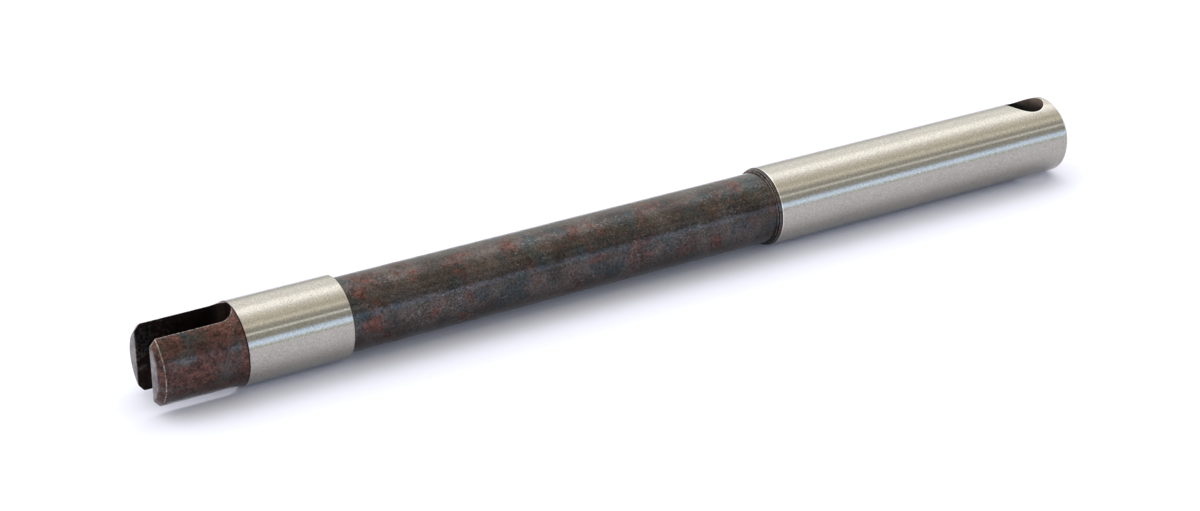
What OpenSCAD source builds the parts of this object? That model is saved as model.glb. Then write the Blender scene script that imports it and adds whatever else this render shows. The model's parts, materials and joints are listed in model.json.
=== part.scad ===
// Slotted drive shaft: one straight turned steel bar with two ground journals.
// The shaft's axis is the X axis and the origin is halfway along it. The slotted
// tip is at -X and the cross-drilled end at +X. The slot is open along Z.
// Millimetres and degrees.

/* [Journals] */
// Diameter of both ground journals
journal_d = 14; // [12:0.1:24]
// Length of the front journal, with its chamfer
front_journal_len = 18.5; // [6:0.1:60]
// Length of the rear journal, with its end chamfer
rear_journal_len = 65.5; // [20:0.5:200]
// Length of the chamfer that runs the front journal down to the shank
front_chamfer_run = 0.7; // [0.3:0.1:3]
// Chamfer on the rear end, equal along and across
end_chamfer = 1; // [0.2:0.1:1.5]

/* [Shank] */
// Length of the shank between the two journals
shank_len = 83; // [10:0.1:300]
// How far the shank's surface lies below the journals
shank_relief = 0.7; // [0.5:0.05:2]
// Radius of the fillet where the shank meets the rear shoulder's face
shoulder_fillet = 0.25; // [0.1:0.05:0.3]
// Length of the unground chamfer on the rear shoulder
shoulder_chamfer_run = 0.55; // [0.2:0.05:2]
// Height of the unground chamfer on the rear shoulder
shoulder_chamfer_rise = 0.2; // [0.1:0.05:0.2]

/* [Slotted tip] */
// Length of the tip, from its end to the front journal
tip_len = 15; // [10:0.1:40]
// How far the tip's surface lies below the journals
tip_relief = 0.3; // [0.1:0.05:1.5]
// Length of the cone that rises from the tip to the front journal
tip_cone_run = 1.3; // [0.3:0.1:4]
// Chamfer round the tip's end, equal along and across
tip_chamfer = 1; // [0.3:0.1:2]
// Width of the driving slot
slot_w = 6.1; // [3:0.1:9]
// Wall left between the slot's round end and the front journal
slot_web = 0.2; // [0.15:0.05:3]

/* [Cross hole] */
// Diameter of the cross hole
hole_d = 7.2; // [3:0.1:8.6]
// Distance from the hole's centre to the rear end
hole_to_end = 5.4; // [5:0.1:18]
// Turn of the hole about the shaft's axis, from the plane of the slot towards +Y
hole_turn = 7; // [0:1:90]

/* [Hidden] */
$fn = 96;
past = 1; // how far a cut runs past the surface it leaves by

journal_r = journal_d / 2;
shank_r = journal_r - shank_relief;
tip_r = journal_r - tip_relief;

// Stations along X, from the slotted tip to the rear end
total_len = tip_len + front_journal_len + shank_len + rear_journal_len;
x_tip = -total_len / 2;
x_front = x_tip + tip_len;
x_shank = x_front + front_journal_len;
x_rear = x_shank + shank_len;
x_end = x_rear + rear_journal_len;

x_slot_end = x_front - slot_web;
x_shoulder = x_rear - shoulder_chamfer_run;
shoulder_r = journal_r - shoulder_chamfer_rise;
x_hole = x_end - hole_to_end;

// A solid of revolution about X. Its children are an outline drawn as
// [distance along X, distance from the axis].
module turned() {
    rotate([0, 90, 0]) rotate_extrude() rotate(90) mirror([0, 1]) children();
}

module slotted_tip() {
    color([0.24, 0.17, 0.15]) difference() {
        turned() polygon([
            [x_tip, 0], [x_tip, tip_r - tip_chamfer], [x_tip + tip_chamfer, tip_r],
            [x_front - tip_cone_run, tip_r], [x_front, journal_r], [x_front, 0]
        ]);
        drive_slot();
    }
}

// The cut that makes the slot: open at the tip's end, round at the other
module drive_slot() {
    cut_h = journal_d + 2 * past;
    slot_r = slot_w / 2;
    x_round = x_slot_end - slot_r;
    translate([x_tip - past, -slot_r, -cut_h / 2])
        cube([x_round - x_tip + past, slot_w, cut_h]);
    translate([x_round, 0, 0]) cylinder(r = slot_r, h = cut_h, center = true);
}

module front_journal() {
    color([0.72, 0.70, 0.66]) turned() polygon([
        [x_front, 0], [x_front, journal_r], [x_shank - front_chamfer_run, journal_r],
        [x_shank, shank_r], [x_shank, 0]
    ]);
}

// The shank ends in the rear journal's unground shoulder: a fillet, a face and a chamfer
module centre_shank() {
    color([0.25, 0.24, 0.23]) turned() difference() {
        polygon([
            [x_shank, 0], [x_shank, shank_r], [x_shoulder - shoulder_fillet, shank_r],
            [x_shoulder - shoulder_fillet, shank_r + shoulder_fillet],
            [x_shoulder, shank_r + shoulder_fillet], [x_shoulder, shoulder_r],
            [x_rear, journal_r], [x_rear, 0]
        ]);
        translate([x_shoulder - shoulder_fillet, shank_r + shoulder_fillet])
            circle(r = shoulder_fillet);
    }
}

module rear_journal() {
    color([0.72, 0.70, 0.66]) difference() {
        turned() polygon([
            [x_rear, 0], [x_rear, journal_r], [x_end - end_chamfer, journal_r],
            [x_end, journal_r - end_chamfer], [x_end, 0]
        ]);
        cross_hole();
    }
}

// The cut that makes the cross hole, right through the rear journal
module cross_hole() {
    translate([x_hole, 0, 0]) rotate([-hole_turn, 0, 0])
        cylinder(d = hole_d, h = journal_d + 2 * past, center = true);
}

slotted_tip();
front_journal();
centre_shank();
rear_journal();
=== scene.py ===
"""Looks of the slotted drive shaft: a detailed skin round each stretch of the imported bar, its steel,
a pale floor, a soft light tent and the camera. Shapes are worked out in millimetres in the row frame
(+X from the slotted tip to the cross-drilled end, +Z up) and stored in metres."""

import json
import math

import bmesh
import bpy
import numpy as np
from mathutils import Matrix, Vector


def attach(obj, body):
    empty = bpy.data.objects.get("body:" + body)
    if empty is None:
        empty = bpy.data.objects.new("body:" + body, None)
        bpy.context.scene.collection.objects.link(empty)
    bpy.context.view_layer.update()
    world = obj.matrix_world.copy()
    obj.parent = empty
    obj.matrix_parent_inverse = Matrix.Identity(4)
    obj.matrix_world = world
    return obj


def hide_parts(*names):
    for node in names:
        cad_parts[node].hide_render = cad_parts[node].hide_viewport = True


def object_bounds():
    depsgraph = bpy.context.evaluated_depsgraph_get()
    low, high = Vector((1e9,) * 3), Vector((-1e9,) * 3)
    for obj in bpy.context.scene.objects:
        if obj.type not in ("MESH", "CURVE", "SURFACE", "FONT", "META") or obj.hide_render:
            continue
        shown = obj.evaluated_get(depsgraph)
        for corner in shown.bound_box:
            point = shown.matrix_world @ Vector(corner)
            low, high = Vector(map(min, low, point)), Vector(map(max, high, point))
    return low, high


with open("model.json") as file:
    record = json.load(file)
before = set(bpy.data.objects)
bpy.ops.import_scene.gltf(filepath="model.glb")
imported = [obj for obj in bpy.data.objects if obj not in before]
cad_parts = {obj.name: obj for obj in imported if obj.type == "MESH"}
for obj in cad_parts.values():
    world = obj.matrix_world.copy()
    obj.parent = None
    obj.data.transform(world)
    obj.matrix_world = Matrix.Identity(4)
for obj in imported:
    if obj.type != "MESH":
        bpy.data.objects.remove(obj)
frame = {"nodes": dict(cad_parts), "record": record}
cad_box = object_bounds()

MM = 0.001  # one millimetre in Blender's metres


# ---------------------------------------------------------------- sizes, read from the frame

def corners(node):
    """All corners of a CAD node, in millimetres."""
    return np.array([v.co for v in frame["nodes"][node].data.vertices]) / MM


def outline(node):
    """A turned CAD node's outline: [distance along, radius] of the outermost corner at each station."""
    points = corners(node)
    along = points[:, 0].round(2)
    reach = np.hypot(points[:, 1], points[:, 2])
    return np.array([(x, reach[along == x].max()) for x in np.unique(along)])


tip_line = outline("slotted_tip")
front_line = outline("front_journal")
shank_line = outline("centre_shank")
rear_line = outline("rear_journal")

X_TIP, TIP_END_R = tip_line[0]
X_FRONT, JOURNAL_R = front_line[0]
TIP_R = tip_line[tip_line[:, 0] < (X_TIP + X_FRONT) / 2][:, 1].max()
TIP_CHAMFER = TIP_R - TIP_END_R
X_CONE = tip_line[abs(tip_line[:, 1] - TIP_R) < 0.01][:, 0].max()
X_FRONT_CHAMFER = front_line[-2][0]
X_SHANK, SHANK_R = front_line[-1]
X_SHOULDER, SHOULDER_R = shank_line[-2]
SHOULDER_FILLET = X_SHOULDER - shank_line[1][0]
X_REAR = rear_line[0][0]
X_END, END_R = rear_line[-1]
END_CHAMFER = JOURNAL_R - END_R

tip_corners = corners("slotted_tip")
SLOT_R = abs(tip_corners[tip_corners[:, 0] < X_TIP + 0.01][:, 1]).min()
round_end = tip_corners[(abs(tip_corners[:, 1]) < SLOT_R - 0.2) & (tip_corners[:, 0] < X_FRONT - 0.1)]
X_SLOT_ROUND = (round_end[:, 0] - np.sqrt(SLOT_R ** 2 - round_end[:, 1] ** 2)).mean()

hole = next(m for m in frame["record"]["mounts"] if m["name"] == "cross_hole")
HOLE_AT = np.array(hole["pos_m"]) / MM
HOLE_AXIS = np.array(hole["axis"]) / np.linalg.norm(hole["axis"])
HOLE_SIDE = np.cross(HOLE_AXIS, (1, 0, 0))  # across the hole, round the shaft
HOLE_R = hole["dims"]["r_mm"]

EDGE_R = 0.07  # how round the ground and turned edges are
WORN_EDGE_R = 0.12  # how round the unground tip's edges are


# ---------------------------------------------------------------- shapes as distances

def rounded(a, b, radius):
    """Where two solids overlap, with the edge between them rounded."""
    outer = np.hypot(np.maximum(a + radius, 0), np.maximum(b + radius, 0))
    return np.minimum(-radius, np.maximum(a, b)) + outer


def filled(a, b, radius):
    """Two solids together, with the corner between them filled."""
    return -rounded(-a, -b, radius)


def slope(x, r, x0, r0, x1, r1):
    """Distance above the cone whose outline runs from (x0, r0) to (x1, r1)."""
    length = math.hypot(x1 - x0, r1 - r0)
    return ((r - r0) * (x1 - x0) - (x - x0) * (r1 - r0)) / length


def ripple(points, size, seed, waves=24):
    """A smooth random field, about -2 to 2, that varies over the given size in millimetres."""
    rng = np.random.default_rng(seed)
    way = rng.normal(size=(3, waves))
    way *= 2 * math.pi * rng.uniform(0.5, 1.5, waves) / size / np.linalg.norm(way, axis=0)
    return np.sin(points @ way + rng.uniform(0, 2 * math.pi, waves)).sum(1) * math.sqrt(2 / waves)


def along_and_out(points):
    return points[:, 0], np.hypot(points[:, 1], points[:, 2])


def slot_distance(points):
    """Distance from the slot's walls, negative in the slot: straight walls that end in a half round."""
    past_round = np.maximum(points[:, 0] - X_SLOT_ROUND, 0)
    return np.hypot(past_round, points[:, 1]) - SLOT_R


def hole_distance(points):
    """Distance from the cross hole's wall, negative in the hole."""
    from_axis = points - HOLE_AT
    from_axis = from_axis - np.outer(from_axis @ HOLE_AXIS, HOLE_AXIS)
    return np.linalg.norm(from_axis, axis=1) - HOLE_R


def scale_relief(points):
    """How far the hot-rolled scale lies below the nominal surface: waves, grain and a few pits."""
    x = points[:, 0]
    on_tip = np.clip((X_FRONT - 0.1 - x) / 0.3, 0, 1)
    on_shank = np.clip((x - X_SHANK) / 0.3, 0, 1) * (x < X_SHOULDER - 0.3)
    waves = 0.008 * ripple(points, 9, seed=1) + 0.004 * ripple(points, 2.2, seed=2)
    grain = 0.003 * ripple(points, 0.8, seed=3)
    pits = 0.02 * np.maximum(ripple(points, 1.3, seed=4) - 1.9, 0)
    return (on_tip + on_shank) * np.maximum(0.02 + waves + grain + pits, 0)


NICKS = 26  # dents round the edge between the tip's chamfer and its side
nick_rng = np.random.default_rng(7)
nick_turn = nick_rng.uniform(0, 2 * math.pi, NICKS)
nick_size = nick_rng.uniform(0.10, 0.32, NICKS)
nick_at = np.stack([
    X_TIP + TIP_CHAMFER + nick_rng.uniform(-0.2, 0.3, NICKS),
    (TIP_R + 0.6 * nick_size) * np.cos(nick_turn),
    (TIP_R + 0.6 * nick_size) * np.sin(nick_turn),
], axis=1)


def tip_distance(points):
    x, r = along_and_out(points)
    side = filled(r - TIP_R, slope(x, r, X_CONE, TIP_R, X_FRONT, JOURNAL_R), 0.3)
    side = rounded(side, slope(x, r, X_TIP, TIP_END_R, X_TIP + TIP_CHAMFER, TIP_R), WORN_EDGE_R)
    solid = rounded(side, X_TIP - x, WORN_EDGE_R)
    for at, size in zip(nick_at, nick_size):
        solid = np.maximum(solid, size - np.linalg.norm(points - at, axis=1))
    solid = rounded(solid, -slot_distance(points), WORN_EDGE_R)
    return np.maximum(solid, x - X_FRONT)


def front_journal_distance(points):
    x, r = along_and_out(points)
    chamfer = slope(x, r, X_FRONT_CHAMFER, JOURNAL_R, X_SHANK, SHANK_R)
    side = rounded(r - JOURNAL_R, chamfer, EDGE_R)
    side = rounded(side, X_FRONT - x - 0.02, EDGE_R)
    return np.maximum(np.maximum(side, X_FRONT - x), x - X_SHANK)


def shank_distance(points):
    x, r = along_and_out(points)
    chamfer = slope(x, r, X_SHOULDER, SHOULDER_R, X_REAR, JOURNAL_R)
    shoulder = rounded(chamfer, X_SHOULDER - x, EDGE_R)
    side = filled(r - SHANK_R, shoulder, SHOULDER_FILLET)
    return np.maximum(np.maximum(side, X_SHANK - x), x - X_REAR)


def rear_journal_distance(points):
    x, r = along_and_out(points)
    side = rounded(r - JOURNAL_R, slope(x, r, X_END - END_CHAMFER, JOURNAL_R, X_END, END_R), EDGE_R)
    side = rounded(side, x - X_END, EDGE_R)
    side = rounded(side, -hole_distance(points), EDGE_R)
    return np.maximum(side, X_REAR - x)


# ---------------------------------------------------------------- meshes

def slope_of(distance, points, step=0.01):
    """Which way the distance grows at each point, as unit vectors, and how fast."""
    ways = step * np.eye(3)
    grown = np.stack([distance(points + w) - distance(points - w) for w in ways], axis=1)
    speed = np.linalg.norm(grown, axis=1) + 1e-12
    return grown / speed[:, None], speed / (2 * step)


def settled(points, distance, steps=5):
    """The points moved onto the surface where the distance is zero."""
    for _ in range(steps):
        way, speed = slope_of(distance, points)
        points = points - way * np.clip(distance(points) / speed, -0.15, 0.15)[:, None]
    return points


def turned_mesh(name, stations, segments):
    """A closed tube of rings along X. stations holds rows of [distance along, radius]."""
    turn = np.linspace(0, 2 * math.pi, segments, endpoint=False)
    rings = [
        np.stack([np.full(segments, x), r * np.cos(turn), r * np.sin(turn)], axis=1)
        for x, r in stations
    ]
    centres = np.array([[stations[0][0], 0, 0], [stations[-1][0], 0, 0]])
    points = np.concatenate(rings + [centres])
    first_centre, last_ring = len(rings) * segments, (len(rings) - 1) * segments
    faces = []
    for i in range(segments):
        j = (i + 1) % segments
        for k in range(0, last_ring, segments):
            faces.append((k + i, k + j, k + segments + j, k + segments + i))
        faces.append((first_centre, j, i))
        faces.append((first_centre + 1, last_ring + i, last_ring + j))
    mesh = bpy.data.meshes.new(name)
    mesh.from_pydata(points.tolist(), [], faces)
    return mesh


def quads_between(row, next_row):
    """The faces between two closed rows of point numbers."""
    return [[row[i - 1], row[i], next_row[i], next_row[i - 1]] for i in range(len(row))]


def round_opening(first, last, reach):
    """The points round an opening, as [ring, segment]: rings first to last, reach segments each way."""
    way_round = [(first, i) for i in range(-reach, reach)]
    way_round += [(k, reach) for k in range(first, last)]
    way_round += [(last, i) for i in range(reach, -reach, -1)]
    way_round += [(k, -reach) for k in range(last, first, -1)]
    return way_round


def bored_mesh(name, stations, segments, first, last, reach, rim_rows=12, bore_rows=36):
    """A closed tube of rings along X with the cross hole through it.

    The rings first to last are left open for reach segments each way from the hole's axis, at both
    ends of the hole. Rows of points fill each opening in to the hole's rim, finer towards the rim,
    and more rows line the hole's wall. Points are [along X, across the hole, along its axis].
    """
    half = segments // 2
    turn = np.arange(segments) * 2 * math.pi / segments
    points = [(x, r * math.sin(a), r * math.cos(a)) for x, r in stations for a in turn]
    rings = [list(range(k * segments, (k + 1) * segments)) for k in range(len(stations))]
    faces = []
    for k, (ring, next_ring) in enumerate(zip(rings, rings[1:])):
        for i, face in enumerate(quads_between(ring, next_ring)):
            from_axis = (i - 1) % half
            if first <= k < last and min(from_axis, half - 1 - from_axis) < reach:
                continue
            faces.append(face)
    for ring, (x, _) in ((rings[0], stations[0]), (rings[-1], stations[-1])):
        faces += [[ring[i - 1], ring[i], len(points)] for i in range(segments)]
        points.append((x, 0, 0))

    def add_row(row, along, across, up):
        """A new row of points joined to the row before it."""
        new_row = list(range(len(points), len(points) + len(row)))
        points.extend(zip(HOLE_AT[0] + along, across, up))
        faces.extend(quads_between(row, new_row))
        return new_row

    way_round = round_opening(first, last, reach)
    along = np.array([stations[k][0] - HOLE_AT[0] for k, i in way_round])
    across = np.array([stations[k][1] * math.sin(i * 2 * math.pi / segments) for k, i in way_round])
    rim_share = HOLE_R / np.hypot(along, across)
    rims = []
    for end in (1, -1):
        row = [rings[k][(i if end > 0 else half - i) % segments] for k, i in way_round]
        for step in range(rim_rows - 1, -1, -1):
            share = rim_share + (1 - rim_share) * (step / rim_rows) ** 2
            up = end * np.sqrt(JOURNAL_R ** 2 - (across * share) ** 2)
            row = add_row(row, along * share, across * share, up)
        rims.append(row)
    row = rims[0]
    rim_height = np.sqrt(JOURNAL_R ** 2 - (across * rim_share) ** 2)
    for step in range(1, bore_rows):
        up = math.cos(math.pi * step / bore_rows) * rim_height
        row = add_row(row, along * rim_share, across * rim_share, up)
    faces += quads_between(row, rims[1])

    in_frame = np.array(points) @ np.array([(1, 0, 0), HOLE_SIDE, HOLE_AXIS])
    mesh = bpy.data.meshes.new(name)
    mesh.from_pydata(in_frame.tolist(), [], faces)
    whole = bmesh.new()
    whole.from_mesh(mesh)
    over_the_hole = [point for point in whole.verts if not point.link_faces]
    bmesh.ops.delete(whole, geom=over_the_hole, context="VERTS")
    bmesh.ops.recalc_face_normals(whole, faces=whole.faces)
    whole.to_mesh(mesh)
    whole.free()
    return mesh


def remeshed(name, node, voxel):
    """A CAD node's solid as an even mesh of small squares, in millimetres."""
    mesh = frame["nodes"][node].data.copy()
    mesh.transform(((1 / MM, 0, 0, 0), (0, 1 / MM, 0, 0), (0, 0, 1 / MM, 0), (0, 0, 0, 1)))
    rough = bpy.data.objects.new(name + "_rough", mesh)
    bpy.context.scene.collection.objects.link(rough)
    cut = rough.modifiers.new("squares", "REMESH")
    cut.mode, cut.voxel_size = "VOXEL", voxel
    even = bpy.data.meshes.new_from_object(rough.evaluated_get(bpy.context.evaluated_depsgraph_get()))
    bpy.data.objects.remove(rough)
    even.name = name
    return even


def mesh_points(mesh):
    flat = np.empty(len(mesh.vertices) * 3, np.float32)
    mesh.vertices.foreach_get("co", flat)
    return flat.reshape(-1, 3).astype(float)


SAME_POINT = 0.001  # points closer than this are joined


def joined_points(mesh, points):
    """Moves the mesh to the points, joins those that met, and returns the ones that are left."""
    mesh.vertices.foreach_set("co", points.astype(np.float32).ravel())
    whole = bmesh.new()
    whole.from_mesh(mesh)
    bmesh.ops.remove_doubles(whole, verts=whole.verts, dist=SAME_POINT)
    whole.to_mesh(mesh)
    whole.free()
    return mesh_points(mesh)


def piece(name, node, mesh, distance, relief, marks, material):
    """Settles a mesh onto its exact surface, marks it for its material and hides its CAD node."""
    points = joined_points(mesh, settled(mesh_points(mesh), distance))
    way, _ = slope_of(distance, points)
    if relief:
        points = points - way * relief(points)[:, None]
        way, _ = slope_of(lambda p: distance(p) + relief(p), points)
    for mark, values in marks(points).items():
        mesh.attributes.new(mark, "FLOAT", "POINT").data.foreach_set("value", values.astype(np.float32))
    mesh.vertices.foreach_set("co", (points * MM).astype(np.float32).ravel())
    mesh.update()
    mesh.shade_smooth()
    mesh.normals_split_custom_set_from_vertices(way.tolist())
    mesh.materials.clear()
    mesh.materials.append(material)
    thing = bpy.data.objects.new(name, mesh)
    bpy.context.scene.collection.objects.link(thing)
    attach(thing, "root")
    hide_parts(node)
    return thing


def ring_stations(start, *legs):
    """Stations along an outline. Each leg is [distance along, radius, greatest gap]."""
    rows = [start]
    x0, r0 = start
    for x1, r1, gap in legs:
        steps = max(1, math.ceil(math.hypot(x1 - x0, r1 - r0) / gap))
        rows += [(x0 + (x1 - x0) * k / steps, r0 + (r1 - r0) * k / steps) for k in range(1, steps + 1)]
        x0, r0 = x1, r1
    return rows


# ---------------------------------------------------------------- marks for the materials

def near(values, width):
    """1 where the values are zero, falling to 0 a few widths away."""
    return np.exp(-(values / width) ** 2)


def tip_marks(points):
    x = points[:, 0]
    slot = slot_distance(points)
    return {
        "inside": np.clip((0.10 - slot) / 0.08, 0, 1),
        "edge": near(slot - 0.08, 0.08) * (slot > 0.04),
        "end": np.clip((X_TIP + 0.22 - x) / 0.12, 0, 1) * (slot > 0.1),
        "ring": np.clip((x - X_CONE + 0.2) / 0.3, 0, 1),
        # Painted shade in the crease where the tip meets the front journal.
        "gap": 0.8 * np.clip((x - X_FRONT + 0.35) / 0.15, 0, 1),
    }


def front_journal_marks(points):
    # Painted highlight on the chamfer at the journal's end.
    return {"edge": np.clip((points[:, 0] - X_FRONT_CHAMFER) / 0.05, 0, 1)}


def rear_journal_marks(points):
    x = points[:, 0]
    gap = hole_distance(points)
    mouth_height = np.sqrt(np.maximum(JOURNAL_R ** 2 - (points @ HOLE_SIDE) ** 2, 0))
    depth = mouth_height - abs(points @ HOLE_AXIS)
    return {
        "inside": np.clip((0.05 - gap) / 0.04, 0, 1),
        # Painted highlight round the hole's rim and at the journal's end next to the shank.
        "edge": np.maximum(0.6 * near(gap - 0.08, 0.06), near(x - X_REAR, 0.12)),
        # Higher towards the +X side and the hole's mouth: it sets where the bore's painted shade lifts.
        "bore_light": (x - HOLE_AT[0]) / HOLE_R - 0.4 * depth,
    }


def no_marks(points):
    return {}


# ---------------------------------------------------------------- materials

class Paint:
    """A material's node tree, with short calls for the nodes that the steels use."""

    def __init__(self, name):
        self.material = bpy.data.materials.new(name)
        self.material.use_nodes = True
        self.tree = self.material.node_tree
        self.shader = self.tree.nodes["Principled BSDF"]
        where = self.tree.nodes.new("ShaderNodeTexCoord")
        self.place = self.vector("MULTIPLY", where.outputs["Object"], (1 / MM,) * 3)
        split = self.tree.nodes.new("ShaderNodeSeparateXYZ")
        self.feed(split.inputs[0], self.place)
        self.along, y, z = split.outputs
        self.radius = self.maths("SQRT", self.plus(self.times(y, y), self.times(z, z)))
        along_faces = self.plus(self.along, self.radius)
        self.turned = self.put("ShaderNodeCombineXYZ", {0: along_faces, 1: y, 2: z})

    def put(self, kind, links, **settings):
        """A node with its settings, its inputs linked or set, and its first output."""
        made = self.tree.nodes.new(kind)
        for key, value in settings.items():
            setattr(made, key, value)
        for key, value in links.items():
            self.feed(made.inputs[key], value)
        return made.outputs[0]

    def feed(self, socket, value):
        if isinstance(value, bpy.types.NodeSocket):
            self.tree.links.new(value, socket)
        else:
            socket.default_value = value

    def vector(self, operation, a, b):
        return self.put("ShaderNodeVectorMath", {0: a, 1: b}, operation=operation)

    def maths(self, operation, a, b=0.0, clamp=False):
        return self.put("ShaderNodeMath", {0: a, 1: b}, operation=operation, use_clamp=clamp)

    def plus(self, a, b, clamp=False):
        return self.maths("ADD", a, b, clamp)

    def minus(self, a, b):
        return self.maths("SUBTRACT", a, b)

    def times(self, a, b):
        return self.maths("MULTIPLY", a, b)

    def most(self, a, b):
        return self.maths("MAXIMUM", a, b)

    def noise(self, per_mm, detail=2.0, stretch=(1, 1, 1), rough=0.5, shift=0.0, place=None):
        """Noise with so many features a millimetre, fewer along an axis whose stretch is below 1."""
        moved = self.vector("MULTIPLY", place or self.place, stretch)
        moved = self.vector("ADD", moved, (shift, shift, shift))
        links = {"Vector": moved, "Scale": per_mm, "Detail": detail, "Roughness": rough}
        return self.put("ShaderNodeTexNoise", links)

    def step(self, value, low, high):
        """0 below low, 1 above high, smooth between."""
        links = {"Value": value, "From Min": low, "From Max": high}
        return self.put("ShaderNodeMapRange", links, interpolation_type="SMOOTHSTEP")

    def ranged(self, value, low, high):
        """A value of 0 to 1 taken to low to high."""
        return self.put("ShaderNodeMapRange", {"Value": value, "To Min": low, "To Max": high})

    def mix(self, share, a, b, blend="MIX"):
        made = self.tree.nodes.new("ShaderNodeMix")
        made.data_type, made.blend_type = "RGBA", blend
        for socket, value in zip((made.inputs[0], made.inputs[6], made.inputs[7]), (share, a, b)):
            self.feed(socket, (*value, 1) if isinstance(value, tuple) else value)
        return made.outputs[2]

    def shaded(self, colour, shade):
        """A colour made lighter or darker by a grey value."""
        grey = self.put("ShaderNodeCombineColor", dict.fromkeys((0, 1, 2), shade))
        return self.mix(1.0, colour, grey, "MULTIPLY")

    def mark(self, name):
        made = self.tree.nodes.new("ShaderNodeAttribute")
        made.attribute_name = name
        return made.outputs["Fac"]

    def bump(self, height, depth_mm, below=None):
        """A bump of the given depth, on top of another one."""
        links = {"Height": height, "Distance": depth_mm * MM, "Strength": 1.0}
        if below is not None:
            links["Normal"] = below
        return self.put("ShaderNodeBump", links)

    def finish(self, **sockets):
        for name, value in sockets.items():
            value = (*value, 1) if isinstance(value, tuple) else value
            self.feed(self.shader.inputs[name.replace("_", " ")], value)
        return self.material


def scratches(paint, turn, shift):
    """Fine short scratches that all run one way."""
    links = {"Vector": paint.place, "Angle": turn}
    turned = paint.put("ShaderNodeVectorRotate", links, rotation_type="Y_AXIS")
    thin = paint.vector("ADD", paint.vector("MULTIPLY", turned, (0.12, 1, 1)), (shift, shift, shift))
    lines = paint.put("ShaderNodeTexNoise", {"Vector": thin, "Scale": 4.5, "Detail": 1.5})
    return paint.step(lines, 0.69, 0.75)


def ground_steel():
    """Bright steel with fine grinding lines round the shaft, a painted highlight on its chamfers and edges,
    and painted shade in the cross hole.
    """
    paint = Paint("ground_steel")
    lines = paint.noise(6.0, detail=2, stretch=(1, 0.12, 0.12), rough=0.6, place=paint.turned)
    grain = paint.noise(4.2, detail=3, stretch=(1, 0.8, 0.8), rough=0.8, shift=40)
    bands = paint.noise(0.5, detail=2, stretch=(1, 0.02, 0.02), shift=90, place=paint.turned)
    cloud = paint.noise(0.11, detail=4, shift=15)
    colour = paint.mix(cloud, (0.345, 0.326, 0.296), (0.385, 0.364, 0.331))
    grain_shade = paint.ranged(paint.step(grain, 0.2, 0.8), 0.72, 1.28)
    shade = paint.times(grain_shade, paint.ranged(lines, 0.90, 1.10))
    colour = paint.shaded(colour, shade)
    # Painted highlight: much lighter steel where the edge mark lies.
    colour = paint.mix(paint.mark("edge"), colour, (0.85, 0.83, 0.79))
    # The cross hole's wall: brown near its mouth on the +X side, with painted shade going to near black
    # deeper in and towards the -X side.
    bore_cloud = paint.ranged(paint.noise(0.8, detail=4, shift=3), -0.4, 0.4)
    bore_lit_share = paint.step(paint.plus(paint.mark("bore_light"), bore_cloud), 0.05, 1.10)
    bore_with_painted_shade = paint.mix(bore_lit_share, (0.006, 0.004, 0.004), (0.19, 0.125, 0.105))
    inside = paint.mark("inside")
    colour = paint.mix(inside, colour, bore_with_painted_shade)
    rough = paint.plus(paint.ranged(grain, 0.10, 0.20), paint.ranged(bands, -0.02, 0.03))
    rough = paint.plus(rough, paint.times(inside, 0.35))
    rough = paint.plus(rough, paint.times(paint.step(paint.along, X_SHANK, X_REAR), 0.035))
    heights = paint.plus(lines, grain)
    tangent = paint.put("ShaderNodeTangent", {}, direction_type="RADIAL", axis="X")
    return paint.finish(
        Base_Color=colour, Roughness=rough, Metallic=paint.minus(1.0, inside),
        Anisotropic=0.8, Anisotropic_Rotation=0.25, Tangent=tangent, Normal=paint.bump(heights, 0.003),
    )


def scale_colour(paint, shift):
    """Dark brown scale with cool patches."""
    cloud = paint.noise(0.17, detail=5, rough=0.6, shift=shift + 11)
    brown = paint.mix(paint.step(cloud, 0.32, 0.68), (0.042, 0.0355, 0.0335), (0.082, 0.069, 0.065))
    cool = paint.step(paint.noise(0.20, detail=5, rough=0.6, shift=shift + 50), 0.50, 0.64)
    return paint.mix(paint.times(cool, 0.85), brown, (0.036, 0.045, 0.049))


def rust_share(paint, reddish, shift):
    """Where rust lies: in clouds, with more of it towards the front and on the tip's cone."""
    by_front = paint.minus(1.0, paint.step(paint.along, X_SHANK + 2, X_SHANK + 14))
    field = paint.noise(0.22, detail=6, rough=0.65, shift=shift + 71)
    field = paint.plus(field, paint.times(by_front, 0.05))
    field = paint.plus(field, paint.times(paint.mark("ring"), 0.16))
    return paint.step(field, 0.49 - reddish, 0.65 - reddish)


def rust_colour(paint, shift):
    cloud = paint.step(paint.noise(0.8, detail=6, rough=0.65, shift=shift + 23), 0.32, 0.68)
    return paint.mix(cloud, (0.036, 0.022, 0.021), (0.112, 0.056, 0.048))


def scratched(paint, shift):
    """Scratches that run two ways in some places, and light flecks."""
    marks = paint.most(scratches(paint, 0.5, shift + 5), scratches(paint, -0.9, shift + 60))
    marks = paint.times(marks, paint.step(paint.noise(0.12, shift=shift + 31), 0.42, 0.7))
    flecks = paint.step(paint.noise(1.9, detail=4, rough=0.85, shift=shift + 33), 0.645, 0.72)
    return paint.most(marks, flecks)


def speckled(paint, shift):
    """Patches of fine light specks."""
    patch = paint.step(paint.noise(0.13, detail=3, shift=shift + 66), 0.50, 0.60)
    speck = paint.noise(3.4, detail=3, rough=0.7, shift=shift + 29)
    return paint.times(paint.step(speck, 0.54, 0.66), patch)


def worn(paint, ridge_at, shift):
    """Where a ridge and the edges have worn bright, in broken lengths."""
    broken = paint.step(paint.noise(2.2, detail=4, shift=shift + 9), 0.34, 0.62)
    off_ridge = paint.maths("ABSOLUTE", paint.minus(paint.along, ridge_at))
    ridge = paint.minus(paint.minus(1.0, paint.step(off_ridge, 0.02, 0.14)), paint.mark("inside"))
    return paint.times(paint.most(ridge, paint.mark("edge")), broken)


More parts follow.
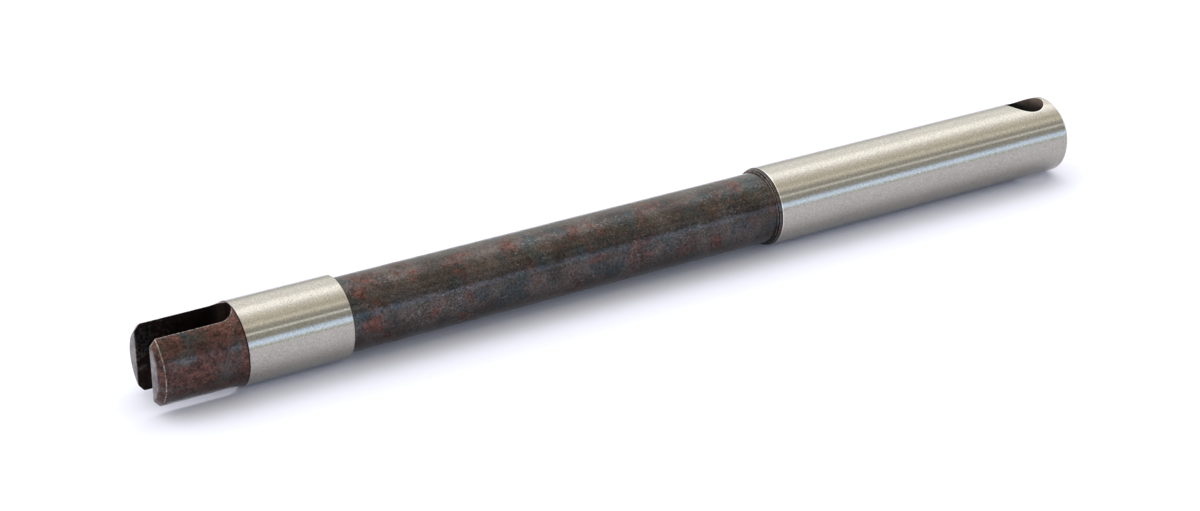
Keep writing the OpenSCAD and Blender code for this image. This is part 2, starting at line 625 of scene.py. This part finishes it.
def faced_colour(paint, shift):
    """The tip's end faces: greyer, with brown clouds."""
    cloud = paint.step(paint.noise(0.45, detail=5, rough=0.65, shift=shift + 2), 0.38, 0.62)
    return paint.mix(cloud, (0.055, 0.038, 0.036), (0.20, 0.175, 0.17))


# Near-black painted shade for the slot's walls and the crease at the front journal.
def painted_shade_colour(paint, shift):
    cloud = paint.noise(0.7, detail=4, shift=shift + 44)
    return paint.mix(cloud, (0.008, 0.006, 0.006), (0.030, 0.019, 0.016))


def scaled_steel(name, reddish, ridge_at, ridge_wear, shift):
    """Unground steel. reddish adds rust, and shift gives each piece its own patterns."""
    paint = Paint(name)
    grain = paint.noise(2.6, detail=5, rough=0.75, shift=shift)
    rust = rust_share(paint, reddish, shift)
    marks = scratched(paint, shift)
    bare = paint.most(paint.times(marks, 0.6), paint.times(worn(paint, ridge_at, shift), ridge_wear))
    bare = paint.most(bare, paint.times(speckled(paint, shift), 0.22))
    inside = paint.mark("inside")

    colour = paint.mix(rust, scale_colour(paint, shift), rust_colour(paint, shift))
    colour = paint.shaded(colour, paint.ranged(paint.step(grain, 0.28, 0.72), 0.50, 1.50))
    colour = paint.mix(bare, colour, (0.40, 0.37, 0.35))
    colour = paint.mix(paint.times(paint.mark("end"), 0.9), colour, faced_colour(paint, shift))
    # Painted shade: near black in the slot and in the crease at the front journal.
    colour = paint.mix(paint.most(inside, paint.mark("gap")), colour, painted_shade_colour(paint, shift))

    rough = paint.plus(paint.ranged(grain, 0.10, 0.28), paint.times(rust, 0.10))
    rough = paint.plus(rough, paint.times(inside, 0.30), clamp=True)
    heights = paint.minus(grain, paint.times(marks, 0.4))
    waves = paint.bump(paint.noise(0.9, detail=3, shift=shift + 81), 0.03)
    return paint.finish(
        Base_Color=colour, Roughness=rough, Metallic=1.0, Normal=paint.bump(heights, 0.014, waves),
    )


# ---------------------------------------------------------------- the shaft

bright = ground_steel()
dark = scaled_steel("shank_scale", reddish=0.0, ridge_at=X_SHOULDER, ridge_wear=0.3, shift=0)
tip_ridge = X_TIP + TIP_CHAMFER
red_dark = scaled_steel("tip_scale", reddish=0.04, ridge_at=tip_ridge, ridge_wear=0.8, shift=21)

NEAR_EDGE = 0.1  # how far the fine rings reach on each side of an edge
BEFORE_HOLE = 1.4  # how far before the cross hole the finer rings begin


def slotted_tip_skin():
    mesh = remeshed("tip_skin", "slotted_tip", voxel=0.14)
    piece("tip_skin", "slotted_tip", mesh, tip_distance, scale_relief,
          tip_marks, red_dark)


def front_journal_skin():
    rings = ring_stations(
        (X_FRONT, JOURNAL_R),
        (X_FRONT + NEAR_EDGE, JOURNAL_R, 0.025),
        (X_FRONT_CHAMFER - NEAR_EDGE, JOURNAL_R, 0.5),
        (X_FRONT_CHAMFER + NEAR_EDGE, JOURNAL_R - 0.07, 0.025),
        (X_SHANK, SHANK_R, 0.2),
    )
    mesh = turned_mesh("front_journal_skin", rings, segments=320)
    piece("front_journal_skin", "front_journal", mesh, front_journal_distance, None,
          front_journal_marks, bright)


def shank_skin():
    rings = ring_stations(
        (X_SHANK, SHANK_R),
        (X_SHOULDER - 0.5, SHANK_R, 0.32),
        (X_SHOULDER, SHANK_R + 0.05, 0.05),
        (X_SHOULDER, SHOULDER_R, 0.05),
        (X_REAR, JOURNAL_R, 0.05),
    )
    mesh = turned_mesh("shank_skin", rings, segments=320)
    piece("shank_skin", "centre_shank", mesh, shank_distance, scale_relief,
          no_marks, dark)


def rear_journal_skin():
    x_chamfer = X_END - END_CHAMFER
    before_hole = ring_stations(
        (X_REAR, JOURNAL_R),
        (X_REAR + 0.3, JOURNAL_R, 0.05),
        (HOLE_AT[0] - HOLE_R - BEFORE_HOLE, JOURNAL_R, 0.5),
    )
    past_hole = ring_stations(before_hole[-1], (x_chamfer - NEAR_EDGE, JOURNAL_R, 0.25))
    end = ring_stations(
        past_hole[-1],
        (x_chamfer + NEAR_EDGE, JOURNAL_R - 0.1, 0.03),
        (X_END - 0.1, END_R + 0.1, 0.2),
        (X_END, END_R, 0.03),
        (X_END, END_R - 0.15, 0.03),
        (X_END, 0.3, 0.4),
    )
    rings = before_hole + past_hole[1:] + end[1:]
    first = len(before_hole) - 1
    last = first + len(past_hole) - 1
    mesh = bored_mesh("rear_journal_skin", rings, segments=176, first=first, last=last, reach=22)
    piece("rear_journal_skin", "rear_journal", mesh, rear_journal_distance, None,
          rear_journal_marks, bright)


slotted_tip_skin()
front_journal_skin()
shank_skin()
rear_journal_skin()


# ---------------------------------------------------------------- floor, light and camera

def floor():
    """A wide pale floor that the journals rest on."""
    half = 3.0  # metres
    level = cad_box[0].z
    mesh = bpy.data.meshes.new("floor")
    square = ((-half, -half), (half, -half), (half, half), (-half, half))
    mesh.from_pydata([(x, y, level) for x, y in square], [], [(0, 1, 2, 3)])
    paint = Paint("pale_floor")
    colour = paint.mix(paint.noise(0.02, detail=3), (0.785, 0.795, 0.92), (0.805, 0.815, 0.94))
    rough = paint.ranged(paint.noise(0.5), 0.85, 0.95)
    mesh.materials.append(paint.finish(Base_Color=colour, Roughness=rough))
    ground = bpy.data.objects.new("floor", mesh)
    bpy.context.scene.collection.objects.link(ground)


# The light tent's soft panels run along the shaft, from the front horizon over the top to the back
# one. Each is [first degree, last degree, degrees its edges fade over, colour added to the base].
TENT_BASE = (0.6, 0.6, 0.55)
PANELS = [
    (0, 8, 12, (0.35, 0.40, 0.40)),  # glow low in front
    (12, 16, 9, (0.6, 0.9, 1.4)),  # cool strip above it
    (39, 41, 3, (0.9, 0.9, 0.9)),  # thin white strip
    (60, 85, 12, (0.45, 0.40, 0.30)),  # warm panel
    (61, 63, 6, (0.3, 0.3, 0.3)),  # strip on the warm panel
    (103, 112, 18, (0.75, 0.75, 0.75)),  # box overhead
    (115, 140, 45, (1.1, 1.1, 1.1)),  # wide fill behind the box
]


def light_tent():
    """Soft panels all round, plain white where the camera sees past the floor."""
    world = bpy.data.worlds.new("light_tent")
    world.use_nodes = True
    tree = world.node_tree
    tree.nodes.clear()

    def put(kind, links, **settings):
        """A node with its settings, its inputs linked or set, and its outputs."""
        made = tree.nodes.new(kind)
        for key, value in settings.items():
            setattr(made, key, value)
        for key, value in links.items():
            if isinstance(value, bpy.types.NodeSocket):
                tree.links.new(value, made.inputs[key])
            else:
                made.inputs[key].default_value = value
        return made.outputs

    def maths(operation, a, b=0.0, clamp=False):
        return put("ShaderNodeMath", {0: a, 1: b}, operation=operation, use_clamp=clamp)[0]

    _, back, up = put("ShaderNodeSeparateXYZ", {0: put("ShaderNodeTexCoord", {})["Generated"]})
    rise = maths("ARCTAN2", up, maths("MULTIPLY", back, -1.0))
    degrees = maths("MULTIPLY", maths("DIVIDE", rise, math.pi, clamp=True), 180.0)
    light = TENT_BASE
    for first, last, fade, colour in PANELS:
        off_middle = maths("ABSOLUTE", maths("SUBTRACT", degrees, (first + last) / 2))
        half = (last - first) / 2
        falls = {"From Min": half, "From Max": half + fade, "To Min": 1.0, "To Max": 0.0}
        share = put("ShaderNodeMapRange", {"Value": off_middle, **falls}, interpolation_type="SMOOTHSTEP")[0]
        panel = put("ShaderNodeVectorMath", {0: colour, "Scale": share}, operation="SCALE")[0]
        light = put("ShaderNodeVectorMath", {0: light, 1: panel}, operation="ADD")[0]

    tent = put("ShaderNodeBackground", {"Color": light})[0]
    plain = put("ShaderNodeBackground", {"Color": (1, 1, 1, 1)})[0]
    seen = put("ShaderNodeLightPath", {})["Is Camera Ray"]
    put("ShaderNodeOutputWorld", {"Surface": put("ShaderNodeMixShader", {0: seen, 1: tent, 2: plain})[0]})
    bpy.context.scene.world = world


def camera():
    """A long lens at the photograph's viewing angle, aimed a little left of the shaft's middle."""
    azimuth, elevation = math.radians(-31.51), math.radians(25.21)
    distance, lens = 0.44338, 77.84
    aim = Vector((-0.00773, 0.00005, -0.00142))
    back = Vector((math.sin(azimuth) * math.cos(elevation), -math.cos(azimuth) * math.cos(elevation),
                   math.sin(elevation)))
    data = bpy.data.cameras.new("camera")
    data.lens, data.sensor_width = lens, 36
    data.clip_start, data.clip_end = 0.01, 20
    view = bpy.data.objects.new("camera", data)
    bpy.context.scene.collection.objects.link(view)
    view.location = aim + back * distance
    view.rotation_mode = "QUATERNION"
    view.rotation_quaternion = (-back).to_track_quat("-Z", "Y")
    bpy.context.scene.camera = view


floor()
light_tent()
camera()
bpy.context.scene.view_settings.view_transform = "Standard"
